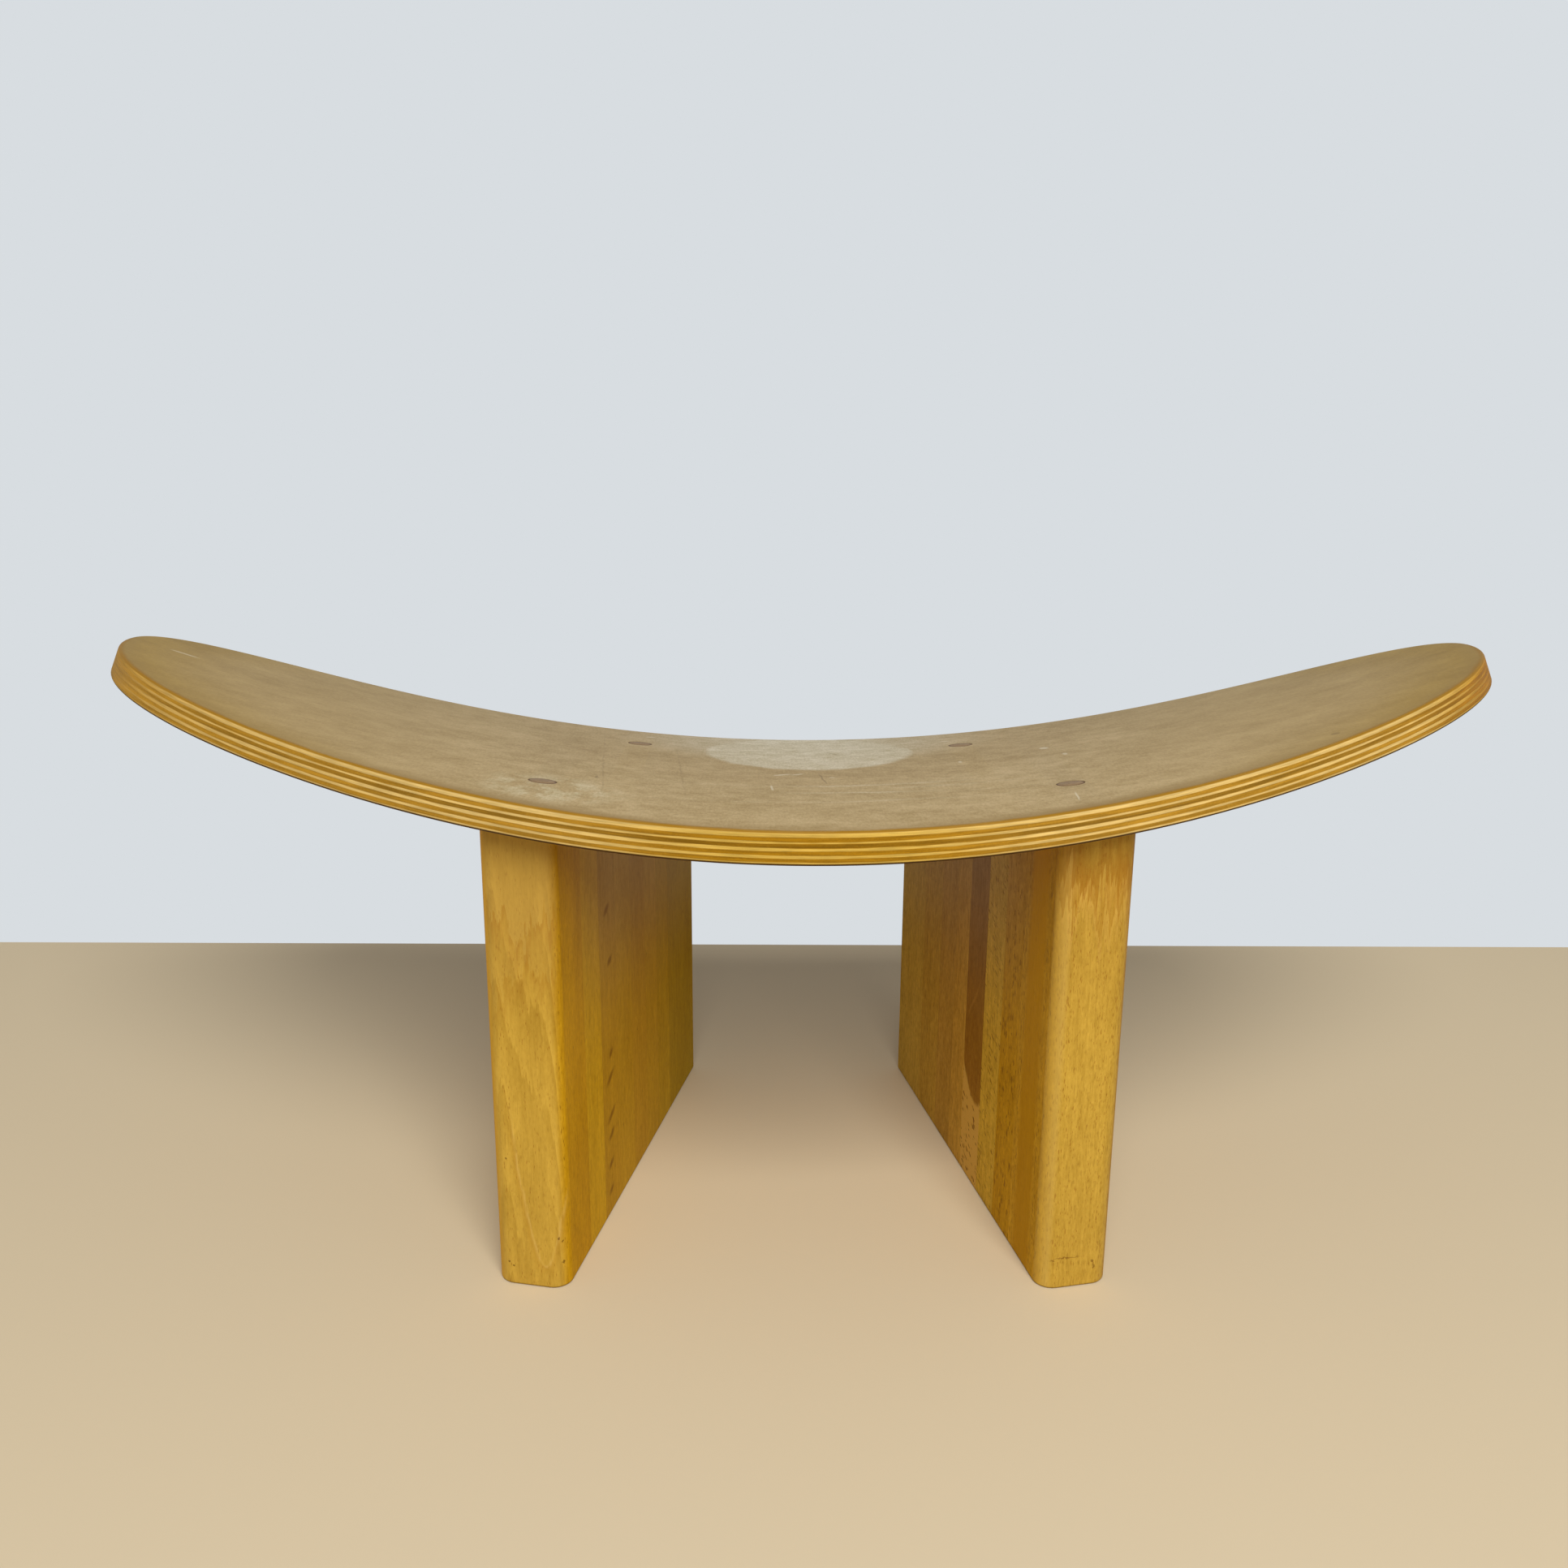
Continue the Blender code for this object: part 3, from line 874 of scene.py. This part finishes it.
def flame_line(place, split, wood):
    """The long pale line of a flame low on the left leg's front."""
    sideways = minus(split_place(loosened(place, 60, 0.003))["X"], 0.006)
    above = minus(minus(split["Z"], 0.009), times(sideways, sideways, 470))
    steep = scaled(maths("ABSOLUTE", sideways), 940, 1)
    away = maths("DIVIDE", above, steep)
    there = times(fade(split["Z"], 0.080, 0.050), fade(split["Y"], -0.086, -0.091))
    hairy = fade(clouds(place, (1000, 1000, 150), 2, 0.6), 0.36, 0.58, 0.1, 0.42)
    line = fade(maths("ABSOLUTE", away), 0.0009, 0.0001)
    wood = painted(wood, (216, 178, 96), line, there, hairy)
    return painted(wood, (176, 126, 30), fade(away, -0.0026, -0.0004), there,
                   fade(away, 0.0, -0.0003), 0.25)


# %% Rounded edges and small marks
def left_rim_painted_light(place, split, wood):
    """Brighter, yellower wood on the left leg's outer rounded edge: painted light from the left.
    """
    return painted(wood, (226, 168, 26), fade(split["X"], -0.0100, -0.0132),
                   fade(split["Y"], -0.083, -0.088), 0.8)


def right_rounding(place, split, wood):
    """Paler wood on the right leg's inner rounded edge, deeper on the outer one."""
    front = fade(split["Y"], -0.0855, -0.0872)
    wood = painted(wood, (208, 172, 86), fade(split["X"], -0.0088, -0.0114), front, 0.45)
    return painted(wood, (160, 108, 24), fade(split["X"], 0.0108, 0.0132), front, 0.6)


def left_front_dents(place, split, wood):
    """Small dark dents near the foot of the left leg's front."""
    rows = [(-8.4, 9.2, 0.5, 0.6, 0), (-6.8, 8, 0.7, 0.4, 0), (11, 21, 0.4, 1, 0),
            (12.1, 19.4, 0.4, 0.6, 0), (12.2, 10.5, 0.4, 1.2, 0), (-7.8, 53, 0.5, 0.5, 0)]
    spots = marks(loosened(place, 900, 0.0016), rows, (1, -0.093, 0.01))
    return painted(wood, (96, 58, 14), spots, 0.75)


def right_front_dents(place, split, wood):
    """A bruise and a dent near the foot of the right leg's front."""
    rows = [(-3.5, 12.8, 7.5, 0.4, 0.02), (-9, 12, 1.2, 0.6, 0), (6.6, 10, 1.6, 0.5, 0.7),
            (7.2, 7.8, 0.6, 1.6, 0)]
    spots = marks(loosened(place, 700, 0.0022), rows, (1, -0.093, 0.01), 0.9)
    return painted(wood, (104, 62, 14), spots, 0.7)


def heartwood_end(place, split, wood):
    """Pale flecked wood under the curved end of the dark heartwood."""
    loose = loosened(place, 140, 0.004)
    heartwood = mark(loose, (0, -0.006, 0.138), (plain, 0.030, 0.102), (-0.10, 0, 0), 0.03)
    spots = dashes(place, 1.0, 0.0011, 0.0030, 1.05, (3, 1, 7))
    pale = painted(screen(216, 172, 80), fleck_brown, spots, 0.9)
    streak = mark(loose, (0, -0.0095, 0.082), (plain, 0.0012, 0.022), (0.56, 0, 0), 0.9)
    return blend(heartwood, pale, painted(wood, (196, 146, 60), streak, 0.35))


def slanted_flecks(place, split, wood):
    """Larger slanted flecks along the front joint of the left leg's third stave."""
    rows = [(across, level, 2.2, half, -1.20) for across, level, half in (
        (-35, 130, 5), (-32.5, 108, 4.6), (-33.5, 69, 4), (-35, 59, 7.2), (-34.5, 42.5, 7.6),
        (-35, 34, 5.6), (-36.5, 21.5, 4.8), (-37, 10, 4.4))]
    spots = marks(loosened(place, 500, 0.0014), rows, (0, 0.014, 0.008), 0.8)
    return painted(wood, fleck_brown, spots, 0.62)


def smooth_middle(place, split, wood):
    """The plain deeper strip in the middle of the right leg's first stave."""
    strip = mark(place, (0, -0.0725, 0.08), (plain, 0.0095, plain), soft=0.4)
    return painted(wood, (189, 138, 10), strip, 0.75)


marks_on_staves = {
    "left_beech_1": [pale_field, flame_line, left_rim_painted_light, left_front_dents],
    "left_beech_3": [slanted_flecks],
    "right_beech_1": [smooth_middle, right_rounding, dark_field, right_front_dents],
    "right_beech_4": [heartwood_end],
}
print("staves with marks of their own", len(marks_on_staves))

# %% [markdown]
# ## Sawing the staves
# A stave is a block in the frame of its leg. The first and the last stave have their outer
# corners rounded over before the leg is put together, and the foot of every stave has a small
# ease round it. The tops follow the bend of the seat.


# %% Saw one stave
corner_round = 0.007
foot_ease = 0.0008


def saw_stave(leg_place, front, rear, outer_end):
    """One stave from front to rear, rounded at the end where it closes the leg."""
    bm = bmesh.new()
    bmesh.ops.create_cube(bm, size=1)
    bmesh.ops.scale(bm, vec=(leg_thickness, rear - front, seat_height), verts=bm.verts)
    bmesh.ops.translate(bm, vec=(0, (front + rear) / 2, seat_height / 2), verts=bm.verts)
    if outer_end is not None:
        corners = [edge for edge in bm.edges
                   if all(abs(vertex.co.y - outer_end) < weld for vertex in edge.verts)
                   and abs(edge.verts[0].co.z - edge.verts[1].co.z) > weld]
        ease(bm, corners, corner_round, 14)
    joints = [place for place in (front, rear) if place != outer_end]
    foot = [edge for edge in bm.edges if all(vertex.co.z < weld for vertex in edge.verts)
            and not any(all(abs(vertex.co.y - joint) < weld for vertex in edge.verts)
                        for joint in joints)]
    ease(bm, foot, foot_ease, 3)
    for vertex in bm.verts:
        if vertex.co.z > seat_height / 2:
            vertex.co.z = seat_level(leg_place @ vertex.co, seat_thickness) - hairline
    return bm


# %% [markdown]
# ## One table for sixteen staves
# The widths are shares of the leg's depth, as in the CAD model. The tones come from the real
# legs: mostly golden, some browner, one nearly as dark as walnut.

# %% Widths, tones and figure of the staves
smooth = 0.10, 0.0008, 0.0026, 0.0
speckled = 0.30, 0.0010, 0.0026, 0.0
stave_table = {
    "left": [
        (0.156, (203, 154, 22), (0.008, -0.030), (0.00, 0.05), 0.0018, 0.45, 0.8,
         0.26, 0.00034, 0.0016, 0.0),
        (0.104, (211, 167, 30), (0.060, -0.050), (0.01, 0.02), 0.0030, 0.2, 0.2, *smooth),
        (0.110, (193, 149, 32), (-0.050, 0.030), (0.01, 0.03), 0.0030, 0.2, 0.2,
         0.10, 0.0006, 0.004, 0.42),
        (0.108, (198, 155, 34), (0.070, 0.000), (0.02, 0.01), 0.0030, 0.2, 0.2, *smooth),
        (0.107, (192, 148, 34), (0.090, 0.020), (0.01, 0.02), 0.0025, 0.2, 0.2, *smooth),
        (0.094, (195, 153, 34), (0.080, 0.060), (0.01, 0.01), 0.0025, 0.2, 0.2, *smooth),
        (0.097, (198, 159, 32), (-0.060, 0.070), (0.01, 0.02), 0.0030, 0.2, 0.2, *smooth),
        (0.224, (182, 147, 28), (0.050, 0.120), (0.02, 0.02), 0.0035, 0.3, 0.3, *smooth),
    ],
    "right": [
        (0.183, (206, 159, 38), (0.120, -0.160), (0.01, 0.01), 0.0030, 0.15, 0.3,
         0.92, 0.00046, 0.0021, 0.0),
        (0.099, (195, 148, 24), (-0.080, -0.020), (0.01, 0.01), 0.0030, 0.2, 0.3,
         0.95, 0.0014, 0.0030, 0.0),
        (0.105, (213, 174, 58), (-0.060, 0.010), (0.01, 0.05), 0.0030, 0.3, 0.3,
         0.90, 0.0008, 0.0034, 1.10),
        (0.113, (156, 110, 30), (0.080, 0.020), (0.01, 0.40), 0.0120, 0.4, 0.2, *speckled),
        (0.084, (200, 155, 60), (0.080, 0.040), (0.01, 0.01), 0.0025, 0.2, 0.2, *speckled),
        (0.108, (190, 147, 58), (0.090, 0.050), (0.01, 0.01), 0.0025, 0.2, 0.2, *speckled),
        (0.127, (197, 156, 58), (0.080, 0.070), (0.01, 0.01), 0.0030, 0.2, 0.2, *speckled),
        (0.181, (199, 161, 62), (0.060, 0.110), (0.02, 0.01), 0.0035, 0.3, 0.3, *speckled),
    ],
}
roughness = {"left": 0.55, "right": 0.9}

# %% Saw and finish the sixteen staves
for leg, rows in stave_table.items():
    total = sum(row[0] for row in rows)
    edge = -leg_depth / 2
    for number, (share, tone, *figure) in enumerate(rows, 1):
        rear = edge + leg_depth * share / total
        outer_end = {1: edge, 8: rear}.get(number)
        stave = new_piece(f"{leg}_stave_{number}",
                          saw_stave(legs[leg], edge, rear - hairline, outer_end), legs[leg])
        bore(stave)
        stand_in(stave, f"leg_{leg}_stave_{number}",
                 stave_finish(f"{leg}_beech_{number}", legs[leg], roughness[leg], screen(*tone),
                              *figure))
        edge = rear
print("staves", sum(len(rows) for rows in stave_table.values()))

# %% [markdown]
# ## Plugs and screws
# Four wooden plugs close the holes over the screws. A plug is a short round with its rim eased,
# sanded flush with the seat, so a fine dark line shows round it. The steel screws keep their
# CAD shape, because nothing of them is seen, and get a plain zinc finish with turning marks.


# %% Finish of the plugs and the screws
def plug_finish(name, place):
    """Pinkish brown plug, darker at its rim."""
    finish, tree, shader = new_finish(name)
    centred = stretched(object_place(tree), (1, 1, 0), (-place.x, -place.y, 0))
    grain = clouds(centred, (500, 2500, 1), 3, 0.6)
    wood = blend(fade(grain, 0.3, 0.7), screen(122, 92, 58), screen(166, 138, 98))
    rim = fade(length_of(centred), 0.0040, 0.0049)
    colour = blend(rim, wood, screen(96, 66, 40))
    dress(shader, colour, 0.5, grain, 0.00004)
    return finish


def zinc_finish():
    """Zinc-plated steel with fine turning marks."""
    finish, tree, shader = new_finish("zinc", 0.5)
    turning = clouds(object_place(tree), (200, 200, 3000), 2)
    colour = blend(turning, screen(150, 146, 138), screen(196, 192, 184))
    for name, value in (("Base Color", colour), ("Metallic", 1),
                        ("Roughness", fade(turning, 0.2, 0.8, 0.28, 0.45))):
        feed(shader.inputs[name], value)
    return finish


# %% Make the plugs and finish the screws
zinc = zinc_finish()
for (leg, end), place in plug_places.items():
    bm = bmesh.new()
    bmesh.ops.create_cone(bm, cap_ends=True, segments=48, radius1=plug_radius,
                          radius2=plug_radius, depth=plug_length)
    bmesh.ops.translate(bm, vec=(0, 0, -plug_length / 2), verts=bm.verts)
    ease(bm, rim_edges(bm, 0), plug_ease, 2)
    for vertex in bm.verts:
        if vertex.co.z > -plug_length / 2:
            vertex.co.z += seat_level(place @ vertex.co, 0) - place.translation.z
    plug = new_piece(f"{leg}_{end}_plug", bm, place)
    stand_in(plug, f"plug_{leg}_{end}",
             plug_finish(f"{leg}_{end}_plug_wood", place.translation))
    nodes[f"screw_{leg}_{end}"].material_slots[0].material = zinc
for drill in list(drills.objects):
    bpy.data.objects.remove(drill)
bpy.data.collections.remove(drills)
print("plugs", len(plug_places))

# %% [markdown]
# ## Floor and background
# The floor is plain and pale. The background is the pale tone of a wall, given only to what
# the camera, glossy and clear surfaces see of the world, so that it adds no light.

# %% Floor and world
wall_tone = screen(216, 221, 225)
far_edge = 0.256
reach = 6


def floor_half(name, front, rear):
    """A wide strip of floor between two places in depth."""
    bm = bmesh.new()
    bmesh.ops.create_grid(bm, x_segments=1, y_segments=1, size=1)
    bmesh.ops.scale(bm, vec=(reach, (rear - front) / 2, 1), verts=bm.verts)
    half = new_piece(name, bm, Matrix.Translation((0, (front + rear) / 2, 0)))
    finish, tree, shader = new_finish(name + "_paint")
    shader.inputs["Base Color"].default_value = screen(220, 202, 168)
    shader.inputs["Roughness"].default_value = 0.7
    half.data.materials.append(finish)
    return tree, shader


floor_half("floor", -reach, far_edge)
tree, shader = floor_half("floor_behind", far_edge, reach)
glow = tree.nodes.new("ShaderNodeEmission")
glow.inputs["Color"].default_value = wall_tone
camera_ray = tree.nodes.new("ShaderNodeLightPath")
shown = {0: camera_ray.outputs["Is Camera Ray"], 1: shader.outputs[0], 2: glow.outputs[0]}
feed(tree.nodes["Material Output"].inputs["Surface"],
     node_from("ShaderNodeMixShader", shown).outputs[0])

world = bpy.data.worlds.new("studio")
bpy.context.scene.world = world
world.use_nodes = True
tree = world.node_tree
light_path = tree.nodes.new("ShaderNodeLightPath")
seen = maths("MAXIMUM", light_path.outputs["Is Camera Ray"],
             maths("MAXIMUM", light_path.outputs["Is Glossy Ray"],
                   light_path.outputs["Is Transmission Ray"]))
wall = tree.nodes.new("ShaderNodeBackground")
wall.inputs["Color"].default_value = wall_tone
room = tree.nodes.new("ShaderNodeBackground")
room.inputs["Color"].default_value = screen(250, 250, 255)
room.inputs["Strength"].default_value = 0.27
around = {0: seen, 1: room.outputs[0], 2: wall.outputs[0]}
feed(tree.nodes["World Output"].inputs["Surface"],
     node_from("ShaderNodeMixShader", around).outputs[0])

# %% [markdown]
# ## Light
# The stool is lit softly from the front and a little from above, as by a wide window behind
# the viewer. A large square lamp gives shadows without edges.


# %% Lamps
def soft_lamp(name, place, target, size, power):
    """A square lamp that looks at a point."""
    data = bpy.data.lights.new(name, "AREA")
    data.size = size
    data.energy = power
    lamp = bpy.data.objects.new(name, data)
    lamp.location = place
    lamp.rotation_euler = (Vector(target) - Vector(place)).to_track_quat("-Z", "Y").to_euler()
    bpy.context.scene.collection.objects.link(lamp)


soft_lamp("window", (0.2, -1.62, 1.58), (0, 0, 0.1), 1.2, 48)

# %% [markdown]
# ## Camera
# The camera stands in front and a little above, and looks down on the stool. Its place and
# direction were fitted to the photograph with the legs, the table's edges and the seat.

# %% Camera
camera_data = bpy.data.cameras.new("camera")
camera_data.sensor_width = 36
camera_data.lens = 36.409
camera = bpy.data.objects.new("camera", camera_data)
down, turn, roll = math.radians(16.677), math.radians(0.630), math.radians(0.427)
ahead = Vector((math.sin(turn) * math.cos(down), math.cos(turn) * math.cos(down), -math.sin(down)))
level = Vector((math.cos(turn), -math.sin(turn), 0))
upright = level.cross(ahead)
right = level * math.cos(roll) + upright * math.sin(roll)
above = upright * math.cos(roll) - level * math.sin(roll)
camera.matrix_world = (Matrix.Translation((-0.01434, -0.59432, 0.3516))
                       @ Matrix((right, above, -ahead)).transposed().to_4x4())
bpy.context.scene.collection.objects.link(camera)
bpy.context.scene.camera = camera
bpy.context.scene.view_settings.view_transform = "Standard"
print("camera at", [round(value, 3) for value in camera.location])
